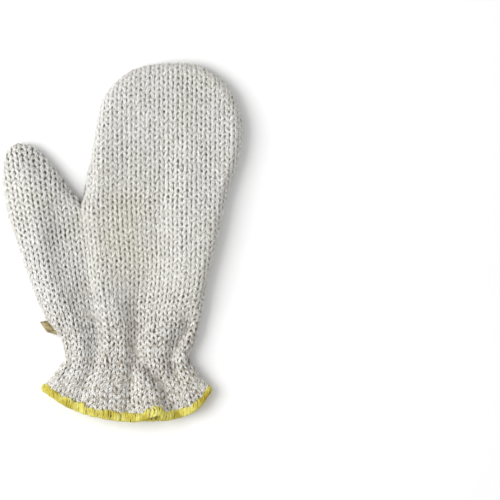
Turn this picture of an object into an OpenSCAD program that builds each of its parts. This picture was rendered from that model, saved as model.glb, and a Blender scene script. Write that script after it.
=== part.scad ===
// Knitted metal-thread scrubbing mitt, lying on its back with the fingertips towards +Y.
// The origin is on the table, under the middle of the mitt. The front and back panels are
// hollow shells that meet at a seam line round the edge, and the cuff is open at the hem.

/* [Size] */
// Length from the hem to the fingertips
mitt_length = 300; // [270:5:330]
// Width from the thumb to the little finger side
mitt_width = 200; // [180:5:220]

/* [Knit] */
// Thickness of the knitted wall
knit_wall = 2.8; // [2:0.2:3.6]
// Height of the side seam above the table
seam_height = 7; // [6:0.5:9]
// Width of the round edge of the front panel
front_edge = 18; // [14:1:24]
// Width of the round edge of the back panel
back_edge = 12; // [10:1:16]

/* [Trim] */
// Width of the hem overlock
hem_width = 6; // [4:0.5:8]
// Width of the elastic band in the wrist
elastic_width = 8; // [6:1:10]
// Thickness of the elastic band
elastic_thickness = 1.2; // [0.8:0.2:2]
// Width of the seam allowance inside the mitt
seam_width = 5; // [3:0.5:6]
// Length of the ribbon tab along the seam
tab_length = 15; // [10:1:18]
// How far the ribbon tab stands out of the seam
tab_reach = 8; // [6:0.5:12]

/* [Fold lines] */
// Gap between two parts that fold against each other
fold_gap = 0.5; // [0.4:0.1:1]

/* [Hidden] */

knit_colour = "silver";
thread_colour = "lightgray";
hem_colour = "gold";
elastic_colour = "whitesmoke";
ribbon_colour = "tan";

FRONT = 1;
BACK = -1;
half_gap = fold_gap / 2;
clearance = 0.25;

// The outline is drawn for a mitt of 200 by 300 and scaled to the size asked for.
drawn_scale = [mitt_width / 200, mitt_length / 300];
function sized(points) = [for (p = points) [p.x * drawn_scale.x, p.y * drawn_scale.y]];

// Edge on the thumb side, from the hem up and round the thumb to the crotch.
thumb_line = sized([
    [-67, -122], [-56, -108], [-48.5, -95], [-53, -79], [-66, -58],
    [-78, -29], [-88, 1], [-96, 25], [-99.7, 50], [-98, 70],
    [-91, 80.5], [-81, 83], [-71, 78], [-57, 62], [-43, 44], [-34.5, 34]]);
// Edge on the finger side, from the crotch over the fingertips down to the hem.
hand_line = sized([
    [-34.5, 34], [-31.5, 47], [-25.5, 76], [-22.5, 100], [-18.5, 117],
    [-10, 129.5], [2, 140.5], [18, 147.5], [41, 150], [62, 147.5],
    [77.5, 141], [88.5, 129.5], [96, 113], [100, 95], [96.5, 70],
    [89, 47], [84, 27], [77.5, -4], [70.5, -31], [65, -60],
    [60, -80], [54.5, -95], [60, -106], [75, -120]]);
// Hem of the open cuff, from the thumb side to the finger side.
hem_line = sized([
    [-67, -122], [-46, -137.5], [-22, -146.5], [9, -150], [40, -147], [59, -138], [75, -120]]);
// Where the control points of those edges meet the fold lines.
WRIST_T = 2;
THUMB_ROOT = 4;
THUMB_CAP = [8, 13];
CROTCH_T = 15;
KNUCKLE_L = 1;
FINGER_CAP = [3, 12];
KNUCKLE_R = 15;
WRIST_H = 21;
HEM_H = 23;

// Height of the front panel along the mitt: [y, height].
crown_line = [for (c = [[-160, 20], [-95, 19], [-45, 20.5], [15, 22], [80, 20], [160, 15]])
    [c.x * drawn_scale.y, c.y]];
// The gathers lift the back panel off the table along the wrist.
wrist_y = thumb_line[WRIST_T].y;
gather_y = wrist_y + 5;
gather_lift = 1.8;
gather_spread = 8;

// Point at parameter t of a smooth curve through the points, with t = 0 at the first of them.
function spline(points, t) = let (
    last = len(points) - 1,
    k = min(last - 1, max(0, floor(t))),
    s = t - k,
    b = points[k], c = points[k + 1],
    a = k > 0 ? points[k - 1] : 2 * b - c,
    d = k + 2 <= last ? points[k + 2] : 2 * c - b)
    ((2 * b) + (c - a) * s + (2 * a - 5 * b + 4 * c - d) * s * s
        + (3 * b - a - 3 * c + d) * s * s * s) / 2;

// Parameter of the curve between two of its points at a given y, or at a given x.
function at_y(points, from, to, y) =
    lookup(y, [for (k = [min(from, to) : max(from, to)]) [points[k].y, k]]);
function at_x(points, from, to, x) =
    lookup(x, [for (k = [min(from, to) : max(from, to)]) [points[k].x, k]]);
function mix(a, b, t) = a * (1 - t) + b * t;
function unit(v) = v / norm(v);
// Spacing from 0 to 1 that is close at both ends, and one that is close at the far end.
function both_ends(i, n) = (1 - cos(180 * i / n)) / 2;
function far_end(i, n) = sin(90 * i / n);

// The closed edge of the mitt as short straight pieces, without the open hem.
outline_steps = 4;
outline = concat(
    [for (k = [0 : outline_steps * CROTCH_T - 1]) spline(thumb_line, k / outline_steps)],
    [for (k = [0 : outline_steps * HEM_H]) spline(hand_line, k / outline_steps)]);

// Distance of p from the edge, and the direction into the mitt there.
function near_edge(p) = let (
    hits = [for (k = [0 : len(outline) - 2])
        let (a = outline[k], ab = outline[k + 1] - a,
             q = a + ab * min(1, max(0, (p - a) * ab / (ab * ab))))
        [norm(p - q), q, unit([ab.y, -ab.x])]],
    least = min([for (h = hits) h[0]]),
    hit = [for (h = hits) if (h[0] == least) h][0])
    [least, least > 0.5 ? (p - hit[1]) / least : hit[2]];

function crown(y) = spline(crown_line, lookup(y, [for (k = [0 : len(crown_line) - 1])
    [crown_line[k].x, k]])).y;
function lift(y) = gather_lift * exp(-pow((y - gather_y) / gather_spread, 2));

// A plan point is [p, on_edge, slide]. on_edge says that it lies on the side seam. slide is the
// direction of the fold line that it must stay on, or 0.
// point3 puts it on the front or back panel, depth below the outer face.
function point3(plan, side, depth) = let (
    near = near_edge(plan[0]),
    edge = side == FRONT ? front_edge : back_edge,
    share = plan[1] ? 1 : 1 - min(1, near[0] / edge),
    rise = sqrt(1 - share * share),
    inward = near[1],
    slide = plan[2],
    along = slide == 0 ? inward : slide / max(0.5, abs(slide * inward)) * sign(slide * inward),
    flat = plan[0] + along * depth * share,
    y = plan[0].y,
    top = seam_height + (crown(y) - seam_height) * rise - depth * rise,
    bottom = seam_height + (lift(y) - seam_height) * rise + depth * rise)
    [flat.x, flat.y, side == FRONT ? top : bottom];

// Closed shell over a grid of plan points, between two depths.
module shell(grid, side, outer_depth, inner_depth) {
    rows = len(grid);
    cols = len(grid[0]);
    count = rows * cols;
    points = concat(
        [for (row = grid) for (plan = row) point3(plan, side, outer_depth)],
        [for (row = grid) for (plan = row) point3(plan, side, inner_depth)]);
    rim = concat(
        [for (i = [0 : cols - 2]) i],
        [for (j = [0 : rows - 2]) j * cols + cols - 1],
        [for (i = [0 : cols - 2]) rows * cols - 1 - i],
        [for (j = [0 : rows - 2]) (rows - 1 - j) * cols]);
    outer = [for (j = [0 : rows - 2]) for (i = [0 : cols - 2]) let (a = j * cols + i)
        each [[a, a + cols, a + 1], [a + 1, a + cols, a + cols + 1]]];
    inner = [for (f = outer) [f[0] + count, f[2] + count, f[1] + count]];
    wall = [for (k = [0 : len(rim) - 1]) let (a = rim[k], b = rim[(k + 1) % len(rim)])
        each [[a, b, b + count], [a, b + count, a + count]]];
    faces = concat(outer, inner, wall);
    polyhedron(points, side == FRONT ? faces : [for (f = faces) [f[0], f[2], f[1]]]);
}

// Closed tube of the given rings, each a list of points.
module tube(rings, closed = false) {
    sides = len(rings[0]);
    last = len(rings) - 1;
    points = [for (r = rings) each r];
    walls = [for (k = [0 : closed ? last : last - 1]) for (i = [0 : sides - 1])
        let (n = (k + 1) % (last + 1), a = k * sides + i, b = k * sides + (i + 1) % sides,
             c = n * sides + i, d = n * sides + (i + 1) % sides)
        each [[a, b, c], [b, d, c]]];
    ends = closed ? [] : [
        [for (i = [0 : sides - 1]) sides - 1 - i],
        [for (i = [0 : sides - 1]) last * sides + i]];
    polyhedron(points, concat(walls, ends));
}

// Plan grids. Each row runs from the thumb side to the finger side.
side_cols = 20;
root_a = thumb_line[THUMB_ROOT];
root_b = thumb_line[CROTCH_T];
root_dir = unit(root_b - root_a);
root_out = [-root_dir.y, root_dir.x];
knuckle_y = hand_line[KNUCKLE_L].y;
X_DIR = [1, 0];

palm_steps = [8, 8, 2];
palm_y = concat(
    [for (j = [0 : palm_steps[0]]) mix(wrist_y, root_a.y, j / palm_steps[0])],
    [for (j = [1 : palm_steps[1]]) mix(root_a.y, root_b.y, j / palm_steps[1])],
    [for (j = [1 : palm_steps[2]]) mix(root_b.y, knuckle_y, j / palm_steps[2])]);
function palm_left(j) = let (y = palm_y[j], root_from = palm_steps[0],
    root_to = palm_steps[0] + palm_steps[1])
    j < root_from ? spline(thumb_line, at_y(thumb_line, WRIST_T, THUMB_ROOT, y))
    : j > root_to ? spline(hand_line, at_y(hand_line, 0, KNUCKLE_L, y))
    : mix(root_a, root_b, (y - root_a.y) / (root_b.y - root_a.y)) - root_out * half_gap;
function palm_right(j) = spline(hand_line, at_y(hand_line, KNUCKLE_R, WRIST_H, palm_y[j]));
function palm_grid() = [for (j = [0 : len(palm_y) - 1]) let (
    end_row = j == 0 || j == len(palm_y) - 1,
    nudge = [0, j == 0 ? half_gap : end_row ? -half_gap : 0],
    on_root = j > palm_steps[0] && j < palm_steps[0] + palm_steps[1])
    [for (i = [0 : side_cols]) let (at_left = i == 0)
        [mix(palm_left(j), palm_right(j), both_ends(i, side_cols)) + nudge,
         i == side_cols || (at_left && !on_root),
         end_row ? X_DIR : at_left && on_root ? root_dir : 0]]];

finger_rows = 12;
function finger_cap(t) = let (a = hand_line[FINGER_CAP[0]], b = hand_line[FINGER_CAP[1]])
    spline(hand_line, at_x(hand_line, FINGER_CAP[0], FINGER_CAP[1], mix(a.x, b.x, t)));
function finger_point(v, t) = let (
    left = spline(hand_line, mix(KNUCKLE_L, FINGER_CAP[0], v)),
    right = spline(hand_line, mix(KNUCKLE_R, FINGER_CAP[1], v)),
    chord = mix(hand_line[FINGER_CAP[0]], hand_line[FINGER_CAP[1]], t))
    mix(left, right, t) + v * v * (finger_cap(t) - chord);
function finger_grid() = [for (j = [0 : finger_rows])
    [for (i = [0 : side_cols])
        [finger_point(far_end(j, finger_rows), both_ends(i, side_cols)) + [0, j == 0 ? half_gap : 0],
         i == 0 || i == side_cols || j == finger_rows,
         j == 0 ? X_DIR : 0]]];

thumb_rows = 11;
thumb_cols = 12;
function thumb_cap(t) = spline(thumb_line, mix(THUMB_CAP[0], THUMB_CAP[1], t));
function thumb_point(v, t) = let (
    left = spline(thumb_line, mix(THUMB_ROOT, THUMB_CAP[0], v)),
    right = spline(thumb_line, mix(CROTCH_T, THUMB_CAP[1], v)),
    chord = mix(thumb_line[THUMB_CAP[0]], thumb_line[THUMB_CAP[1]], t))
    mix(left, right, t) + v * v * (thumb_cap(t) - chord);
function thumb_grid() = [for (j = [0 : thumb_rows])
    [for (i = [0 : thumb_cols])
        [thumb_point(far_end(j, thumb_rows), both_ends(i, thumb_cols))
             + (j == 0 ? root_out * half_gap : [0, 0]),
         i == 0 || i == thumb_cols || j == thumb_rows,
         j == 0 ? root_dir : 0]]];

cuff_rows = 7;
hem_rows = 2;
hem_from = thumb_line[0].x;
hem_to = hand_line[HEM_H].x;
function hem_point(t) =
    spline(hem_line, at_x(hem_line, 0, len(hem_line) - 1, mix(hem_from, hem_to, t)));
function cuff_point(v, t) = let (
    from = mix(thumb_line[WRIST_T], hand_line[WRIST_H], t),
    left = spline(thumb_line, mix(WRIST_T, 0, v)),
    right = spline(hand_line, mix(WRIST_H, HEM_H, v)),
    left_chord = mix(thumb_line[WRIST_T], thumb_line[0], v),
    right_chord = mix(hand_line[WRIST_H], hand_line[HEM_H], v))
    mix(from, hem_point(t), v) + (left - left_chord) * (1 - t) + (right - right_chord) * t;
// Share of the way to the hem at which the overlock starts.
function hem_start(t) = 1 - hem_width / norm(hem_point(t) - cuff_point(0, t));
function cuff_grid(from_row, rows, steps) = [for (j = [0 : steps])
    [for (i = [side_cols : -1 : 0]) let (
        t = both_ends(i, side_cols),
        v = from_row == 0 ? hem_start(t) * j / steps : mix(hem_start(t), 1, j / steps))
        [cuff_point(v, t) - [0, from_row == 0 && j == 0 ? half_gap : 0],
         i == 0 || i == side_cols,
         from_row == 0 && j == 0 ? X_DIR : 0]]];
function cuff_panel_grid() = cuff_grid(0, cuff_rows, cuff_rows);
function hem_grid() = cuff_grid(1, hem_rows, hem_rows);

// Seam allowance: a flat padded strip along the inside of the edge.
seam_thick = 3;
seam_inset = knit_wall + 0.6;
function seam_ring(p, slide) = let (
    near = near_edge(p),
    inward = near[1],
    along = slide == 0 ? inward : slide / max(0.5, abs(slide * inward)) * sign(slide * inward),
    corner = seam_thick / 3,
    section = [[0, corner / 2], [corner, seam_thick / 2], [seam_width - corner, seam_thick / 2],
        [seam_width, corner / 2], [seam_width, -corner / 2], [seam_width - corner, -seam_thick / 2],
        [corner, -seam_thick / 2], [0, -corner / 2]])
    [for (s = section) let (q = p + along * (seam_inset + s.x)) [q.x, q.y, seam_height + s.y]];
function seam_path(line, from, to, steps, first_nudge, last_nudge, first_slide, last_slide) =
    [for (k = [0 : steps]) let (
        nudge = k == 0 ? first_nudge : k == steps ? last_nudge : [0, 0],
        slide = k == 0 ? first_slide : k == steps ? last_slide : 0)
        seam_ring(spline(line, mix(from, to, k / steps)) + nudge, slide)];

// Zigzag thread on the outer face of a panel.
stitch_pitch = 3;
stitch_reach = 2.2;
thread_radius = 0.35;
thread_sides = 5;
thread_lift = 0.3;
function stitch_points(side) = let (
    from = palm_left(0).x + 3, to = palm_right(0).x - 3,
    count = floor((to - from) / stitch_pitch) * 2)
    [for (k = [0 : count]) point3(
        [[mix(from, to, k / count), gather_y + (k % 2 == 0 ? 1 : -1) * stitch_reach], false, 0],
        side, -thread_radius - thread_lift)];
module zigzag(side) {
    path = stitch_points(side);
    last = len(path) - 1;
    tube([for (k = [0 : last])
        [for (a = [0 : thread_sides - 1]) let (turn = 360 * a / thread_sides)
            path[k] + thread_radius * [0, cos(turn), sin(turn)]]]);
}

module finger_front_panel() { color(knit_colour) shell(finger_grid(), FRONT, 0, knit_wall); }
module finger_back_panel() { color(knit_colour) shell(finger_grid(), BACK, 0, knit_wall); }
module palm_front_panel() { color(knit_colour) shell(palm_grid(), FRONT, 0, knit_wall); }
module palm_back_panel() { color(knit_colour) shell(palm_grid(), BACK, 0, knit_wall); }
module thumb_front_panel() { color(knit_colour) shell(thumb_grid(), FRONT, 0, knit_wall); }
module thumb_back_panel() { color(knit_colour) shell(thumb_grid(), BACK, 0, knit_wall); }
module cuff_front_panel() { color(knit_colour) shell(cuff_panel_grid(), FRONT, 0, knit_wall); }
module cuff_back_panel() { color(knit_colour) shell(cuff_panel_grid(), BACK, 0, knit_wall); }

// The overlock wraps the raw edge, so it is thicker than the knit. It lies flat on the table.
hem_proud = 0.8;
module front_hem_overlock() {
    color(hem_colour) shell(hem_grid(), FRONT, -hem_proud, knit_wall + hem_proud);
}
module back_hem_overlock() {
    color(hem_colour) shell(hem_grid(), BACK, 0, knit_wall + hem_proud);
}

NONE = [0, 0];
UP = [0, half_gap];
module finger_seam() {
    color(thread_colour) tube(seam_path(hand_line, KNUCKLE_L, KNUCKLE_R, 42, UP, UP, X_DIR, X_DIR));
}
module thumb_seam() {
    color(thread_colour)
        tube(seam_path(thumb_line, THUMB_ROOT + 0.3, CROTCH_T - 0.6, 30, NONE, NONE, 0, 0));
}
module palm_outer_seam() {
    color(thread_colour) tube(seam_path(hand_line, KNUCKLE_R, WRIST_H - 0.65, 16, -UP, NONE, X_DIR, X_DIR));
}
module palm_thumb_seam() {
    color(thread_colour)
        tube(seam_path(thumb_line, WRIST_T + 0.65, THUMB_ROOT - 0.3, 6, NONE, NONE, X_DIR, X_DIR));
}
module palm_web_seam() {
    color(thread_colour) tube(seam_path(hand_line, 0.25, KNUCKLE_L, 4, NONE, -UP, X_DIR, X_DIR));
}
module cuff_outer_seam() {
    color(thread_colour) tube(seam_path(hand_line, WRIST_H, HEM_H - 0.6, 5, -UP, NONE, X_DIR, 0));
}
module cuff_thumb_seam() {
    color(thread_colour) tube(seam_path(thumb_line, 0.6, WRIST_T, 5, NONE, -UP, 0, X_DIR));
}

// The elastic is one closed band round the inside of the wrist.
module wrist_elastic() {
    lower_y = wrist_y + half_gap + clearance;
    band_y = [lower_y, palm_y[1], lower_y + elastic_width];
    outer = knit_wall + clearance;
    inner = outer + elastic_thickness;
    function row(y, i) = let (
        left = spline(thumb_line, at_y(thumb_line, WRIST_T, THUMB_ROOT, y)),
        right = spline(hand_line, at_y(hand_line, KNUCKLE_R, WRIST_H, y)))
        [mix([left.x, y], [right.x, y], both_ends(i, side_cols)), i == 0 || i == side_cols, X_DIR];
    function loop(y, depth) = concat(
        [for (i = [0 : side_cols]) point3(row(y, i), FRONT, depth)],
        [for (i = [side_cols - 1 : -1 : 1]) point3(row(y, i), BACK, depth)]);
    loops = concat([for (y = band_y) loop(y, outer)],
                   [for (k = [2 : -1 : 0]) loop(band_y[k], inner)]);
    color(elastic_colour) tube(loops, closed = true);
}

module front_gather_stitch() { color(thread_colour) zigzag(FRONT); }
module back_gather_stitch() { color(thread_colour) zigzag(BACK); }

// The ribbon is folded into a slim loop whose root turns about the seam line.
tab_t = 3.45;
tab_root_radius = 0.5;
tab_root_gap = 0.4;
ribbon_thickness = 0.5;
tab_belly = 1.3;
tab_bend = tab_reach - tab_belly;
module ribbon_tab() {
    foot = spline(thumb_line, tab_t);
    inward = near_edge(foot)[1];
    pivot = foot - inward * (tab_root_radius + tab_root_gap);
    turn = atan2(-inward.y, -inward.x);
    color(ribbon_colour) translate([pivot.x, pivot.y, seam_height]) rotate([0, 0, turn])
        rotate([90, 0, 0]) linear_extrude(tab_length, center = true) difference() {
            loop_outside();
            loop_inside();
        }
}
module loop_outside() {
    circle(r = tab_root_radius, $fn = 24);
    polygon([[0, tab_root_radius], [0, -tab_root_radius], [tab_bend, -tab_belly], [tab_bend, tab_belly]]);
    translate([tab_bend, 0]) circle(r = tab_belly, $fn = 32);
}
module loop_inside() {
    hollow = tab_belly - ribbon_thickness;
    polygon([[tab_reach / 3, 0], [tab_bend, -hollow], [tab_bend, hollow]]);
    translate([tab_bend, 0]) circle(r = hollow, $fn = 32);
}

finger_front_panel();
finger_back_panel();
finger_seam();
palm_front_panel();
palm_back_panel();
palm_outer_seam();
palm_thumb_seam();
palm_web_seam();
wrist_elastic();
front_gather_stitch();
back_gather_stitch();
thumb_front_panel();
thumb_back_panel();
thumb_seam();
cuff_front_panel();
cuff_back_panel();
cuff_outer_seam();
cuff_thumb_seam();
front_hem_overlock();
back_hem_overlock();
ribbon_tab();
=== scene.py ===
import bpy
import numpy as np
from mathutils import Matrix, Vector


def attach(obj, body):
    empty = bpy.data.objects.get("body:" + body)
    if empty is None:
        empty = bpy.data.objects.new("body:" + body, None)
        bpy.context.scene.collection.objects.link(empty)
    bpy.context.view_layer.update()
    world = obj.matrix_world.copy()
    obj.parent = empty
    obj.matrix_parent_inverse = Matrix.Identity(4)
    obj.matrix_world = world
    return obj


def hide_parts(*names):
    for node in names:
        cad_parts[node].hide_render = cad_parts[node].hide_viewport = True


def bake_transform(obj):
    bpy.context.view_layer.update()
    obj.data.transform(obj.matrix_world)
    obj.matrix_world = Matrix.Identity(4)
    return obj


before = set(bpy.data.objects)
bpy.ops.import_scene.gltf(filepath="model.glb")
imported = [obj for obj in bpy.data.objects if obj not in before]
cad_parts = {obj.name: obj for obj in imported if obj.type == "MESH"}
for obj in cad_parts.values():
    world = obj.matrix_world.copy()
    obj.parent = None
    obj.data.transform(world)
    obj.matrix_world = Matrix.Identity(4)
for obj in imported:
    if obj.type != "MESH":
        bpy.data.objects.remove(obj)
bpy.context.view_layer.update()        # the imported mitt: frame["bodies"], frame["nodes"], frame["joints"], frame["record"]

# Knitted metal-thread scrubbing mitt, lying on its back with the fingertips towards +Y.
# The knit is real geometry: every stitch is a loop of yarn that passes through its neighbours.
# Lengths in this script are millimetres until a mesh is made; MM turns them into metres.

MM = 0.001
rng = np.random.default_rng(7)


def metres(x, y, z=0.0):
    return (x * MM, y * MM, z * MM)


def put_in_scene(name, data):
    made = bpy.data.objects.new(name, data)
    bpy.context.collection.objects.link(made)
    return made


# ---------------------------------------------------------------- outline of the mitt
# Close to the CAD model's outline, 200 wide and 300 long: within 1.5 mm of it, and within 3.5 mm
# along the hem, where the thread adds its own width. Points are (x, y).
THUMB_LINE = np.array([
    (-67, -122), (-55.5, -108), (-47.3, -95), (-51.8, -79), (-66, -58),
    (-78, -29), (-88, 1), (-96, 25), (-99.7, 50), (-98.5, 71),
    (-92, 80.5), (-81, 82), (-71, 77.5), (-57, 62), (-43, 44), (-34.5, 34)], float)
HAND_LINE = np.array([
    (-34.5, 34), (-31.5, 47), (-25.3, 76), (-21.3, 100), (-17.3, 117),
    (-9.2, 129.5), (2.8, 140.2), (18, 146.8), (41, 149.4), (62, 147.8),
    (76, 140.5), (87.8, 129.5), (96.2, 113), (100, 95), (96.5, 70),
    (89, 47), (84, 27), (77.5, -4), (70.5, -31), (65, -60),
    (60, -80), (54.5, -95), (60, -106), (74, -123)], float)
HEM_LINE = np.array([
    (-67, -122), (-46, -136), (-22, -144.5), (8, -148.5), (40, -147), (60, -140), (74, -123)], float)
# Height of the front panel along the mitt: (y, height).
CROWN = np.array([(-160, 20), (-95, 19), (-45, 20.5), (15, 22), (80, 20), (160, 15)], float)

SEAM_Z = 7.0
WRIST_Y = -95.0
GATHER_Y = -90.0
THUMB_ROOT = THUMB_LINE[4]
CROTCH = THUMB_LINE[-1]
ROOT_DIR = (CROTCH - THUMB_ROOT) / np.linalg.norm(CROTCH - THUMB_ROOT)
ROOT_OUT = np.array((-ROOT_DIR[1], ROOT_DIR[0]))
FRONT, BACK = 1, -1
PLEAT_X, PLEAT_RISE = 27.0, 5.0      # where the front's hem steps, and how far
PLEAT_WIDTHS = (9.0, 3.5)            # how gently it steps on the thumb side and on the finger side
HEM_SLOPES = (0.7, 0.9)              # how the hem goes on past its thumb end and its finger end


def spline(points, t):
    """Smooth curve through the points; t is 0 at the first of them and 1 more at each next one."""
    t = np.asarray(t, float)
    last = len(points) - 1
    k = np.clip(np.floor(t).astype(int), 0, last - 1)
    s = (t - k)[..., None]
    ends = np.vstack([2 * points[0] - points[1], points, 2 * points[-1] - points[-2]])
    a, b, c, d = ends[k], ends[k + 1], ends[k + 2], ends[k + 3]
    return (2 * b + (c - a) * s + (2 * a - 5 * b + 4 * c - d) * s**2
            + (3 * b - a - 3 * c + d) * s**3) / 2


def smooth(low, high, value):
    """0 at low and before it, 1 at high and past it, and smooth between them."""
    t = np.clip((value - low) / (high - low), 0, 1)
    return t * t * (3 - 2 * t)


def unit(vectors, least=1e-9):
    return vectors / np.maximum(np.linalg.norm(vectors, axis=-1, keepdims=True), least)


def run_along(points):
    """Length of a line up to each of its points."""
    return np.concatenate([[0], np.cumsum(np.linalg.norm(np.diff(points, axis=0), axis=1))])


def between(grid, x, y):
    """The grid's value at x along its first axis and y along its second, in its own steps."""
    i = np.clip(np.floor(x).astype(int), 0, grid.shape[0] - 2)
    j = np.clip(np.floor(y).astype(int), 0, grid.shape[1] - 2)
    s, t = x - i, y - j
    return ((grid[i, j] * (1 - s) + grid[i + 1, j] * s) * (1 - t)
            + (grid[i, j + 1] * (1 - s) + grid[i + 1, j + 1] * s) * t)


def crown(y):
    """Height of the front panel's top at y."""
    return spline(CROWN, np.interp(y, CROWN[:, 0], np.arange(len(CROWN))))[..., 1]


def hem_y(x, side=0):
    """Where the hem is at x. Past its ends it goes straight on, and the front's has a step at the pleat."""
    t = np.interp(x, HEM_LINE[:, 0], np.arange(len(HEM_LINE)))
    y = spline(HEM_LINE, t)[..., 1]
    past_left, past_right = np.minimum(x - HEM_LINE[0, 0], 0), np.maximum(x - HEM_LINE[-1, 0], 0)
    step = np.exp(-((x - PLEAT_X) / np.where(x < PLEAT_X, *PLEAT_WIDTHS)) ** 2)
    return y - past_left * HEM_SLOPES[0] + past_right * HEM_SLOPES[1] + PLEAT_RISE * step * (side == FRONT)


def edge_polyline():
    """The closed edge, with its two ends carried on past the hem."""
    left = spline(THUMB_LINE, np.arange(0, len(THUMB_LINE) - 1, 1 / 8))
    right = spline(HAND_LINE, np.arange(0, len(HAND_LINE) - 1 + 1e-9, 1 / 8))
    before = left[0] + (left[0] - left[8]) * 3
    after = right[-1] + (right[-1] - right[-9]) * 3
    return np.vstack([before, left, right, after])


EDGE = edge_polyline()


class EdgeField:
    """Distance to the edge and direction into the mitt, from distances on a 1 mm lattice."""

    STEP = 1.0
    SOFTNESS = 4.0                       # how far ridges are rounded
    REACH = 12                           # where the rounding's weights end
    LOW = np.array((-125.0, -175.0))
    SIZE = (251, 361)
    AT_ONCE = 4000                       # points measured at a time, to save memory

    def __init__(self):
        xs = self.LOW[0] + self.STEP * np.arange(self.SIZE[0])
        ys = self.LOW[1] + self.STEP * np.arange(self.SIZE[1])
        points = np.stack(np.meshgrid(xs, ys, indexing="ij"), -1).reshape(-1, 2)
        self.lattice = self.measure(points).reshape(*self.SIZE)
        kernel = np.exp(-np.arange(-self.REACH, self.REACH + 1) ** 2 / (2 * self.SOFTNESS**2))
        kernel /= kernel.sum()
        self.soft = self.lattice.copy()
        for axis in (0, 1):
            self.soft = np.apply_along_axis(
                lambda row: np.convolve(np.pad(row, self.REACH, mode="edge"), kernel, mode="valid"),
                axis, self.soft)

    @staticmethod
    def measure(points):
        """Signed distance to the edge, positive inside the mitt."""
        a, ab = EDGE[:-1], np.diff(EDGE, axis=0)
        length2 = (ab**2).sum(1)
        inward = np.stack([ab[:, 1], -ab[:, 0]], 1) / np.sqrt(length2)[:, None]
        out = np.empty(len(points))
        for start in range(0, len(points), EdgeField.AT_ONCE):
            p = points[start:start + EdgeField.AT_ONCE, None, :]
            s = np.clip(((p - a) * ab).sum(2) / length2, 0, 1)
            away = p - a - s[..., None] * ab
            gap = np.sqrt((away**2).sum(2))
            side = (away * inward).sum(2)
            # at a shared corner the piece of edge that faces the point decides its side
            k = np.argmin(gap - 1e-4 * np.abs(side), axis=1)
            rows = np.arange(len(k))
            out[start:start + len(p)] = np.copysign(gap[rows, k], side[rows, k])
        return out

    def distance(self, p, grid=None):
        """The distance at points p, read from the lattice or from another grid."""
        at = (p - self.LOW) / self.STEP
        return between(self.lattice if grid is None else grid, at[..., 0], at[..., 1])

    def rounded(self, p):
        """The distance with its ridges rounded off, for the height of the cloth."""
        inside = self.distance(p)
        return inside + (self.distance(p, self.soft) - inside) * smooth(3, 12, inside)

    def inward(self, p):
        """Direction away from the nearest edge."""
        e = 0.8
        dx = self.distance(p + (e, 0)) - self.distance(p - (e, 0))
        dy = self.distance(p + (0, e)) - self.distance(p - (0, e))
        return unit(np.stack([dx, dy], -1), least=1e-6)


field = EdgeField()


# ---------------------------------------------------------------- the cloth's surface
# Round edge of each panel: how far the back's reaches into the mitt, and the cloth's spare width,
# because the cloth goes round the edge and not straight down.
BACK_REACH = 12.0
EDGE_SPARE = {FRONT: 5.5, BACK: 1.2}
CROTCH_ROOM = (0.6, 0.36)                # the spare width at the crotch, and how it grows away from it
TIP_ROOM, TIP_RADIUS = (2.5, 0.1), 18.0  # the same beyond this distance from the thumb tip's middle
# The front's round edge: its width at each x, above the wrist and in the cuff.
HAND_REACH = ((-75, -45, -20, 50), (24, 17, 12, 7.5))
CUFF_REACH = ((-40, 50), (13, 9))
THUMB_TIP_MID = np.array((-81.0, 62.0))
MID_DEPTH = {FRONT: 2.0, BACK: 3.1}      # the cloth's middle below the crown and above the floor
FRONT_LOWEST = 8.2        # a fold goes no deeper than this; the back and the elastic lie below
LOWEST_LIFT, LOWEST_SPREAD = 1.6, 9.0    # how much higher that is over the elastic
LOWEST_SOFTNESS = 0.8     # how softly a fold ends there
EDGE_INSET = 1.1          # the cloth's middle stays this far inside the outline
SEAM_APART = 1.1          # half the gap between the panels at the seam
TURNED_APART = 2.1        # and where they are turned in
RIPPLES = {FRONT: 0.55, BACK: 0.5}
GATHER_LIFT, GATHER_SPREAD = 1.0, 8.0    # how the gathers lift the back panel
HEM_ROOM = 1.2            # the back panel's lift for the thread at the hem

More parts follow.
